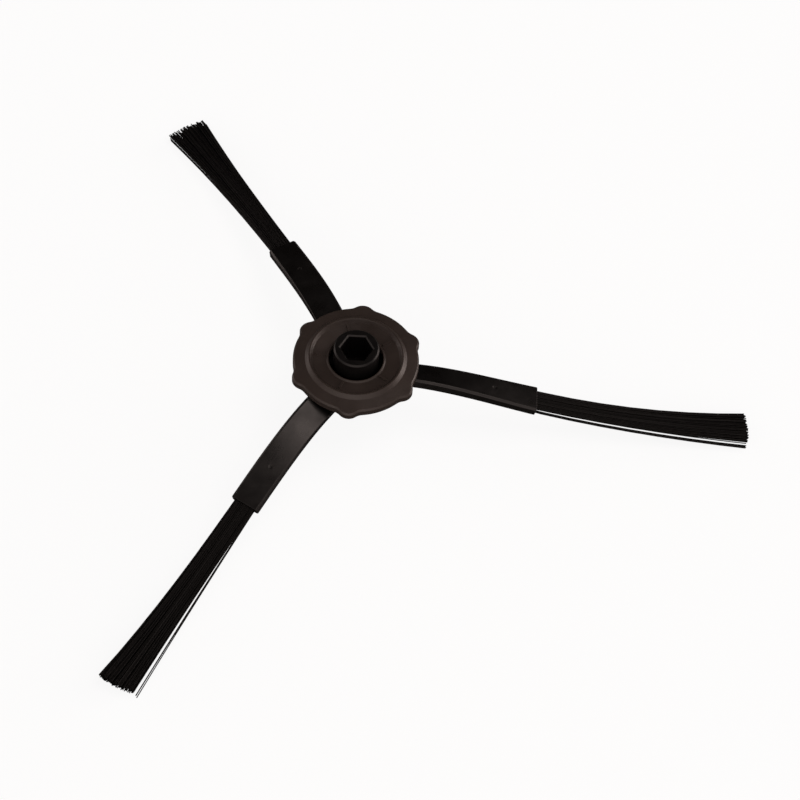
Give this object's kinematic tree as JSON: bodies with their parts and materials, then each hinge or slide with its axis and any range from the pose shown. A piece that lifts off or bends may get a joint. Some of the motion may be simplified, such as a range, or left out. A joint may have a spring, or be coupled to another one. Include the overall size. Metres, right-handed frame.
{
  "type": "side brush",
  "caption": "Spinning side brush with a lobed round hub, a hexagonal drive socket, flat drooping rubber sleeves and fanned bristle tufts, for sweeping dust towards a floor-cleaning robot.",
  "frame": {"origin": "centre of the drive boss's end face, at the mouth of the hexagonal socket", "axes": "+Z along the turning axis, out of the socket's mouth; the first arm leaves the hub along +X"},
  "size_m": [0.1448, 0.1609, 0.0248],
  "materials": {
    "black_plastic": "satin moulded",
    "brown_grey_plastic": "satin moulded",
    "black_rubber": "satin",
    "black_nylon": "drawn filament"
  },
  "bodies": {
    "root": {"hub_base": "black_plastic", "hub_cover": "brown_grey_plastic", "arm_sleeve_1": "black_rubber", "arm_sleeve_2": "black_rubber", "arm_sleeve_3": "black_rubber", "bristle_tuft_1": "black_nylon", "bristle_tuft_2": "black_nylon", "bristle_tuft_3": "black_nylon"}
  },
  "joints": []
}
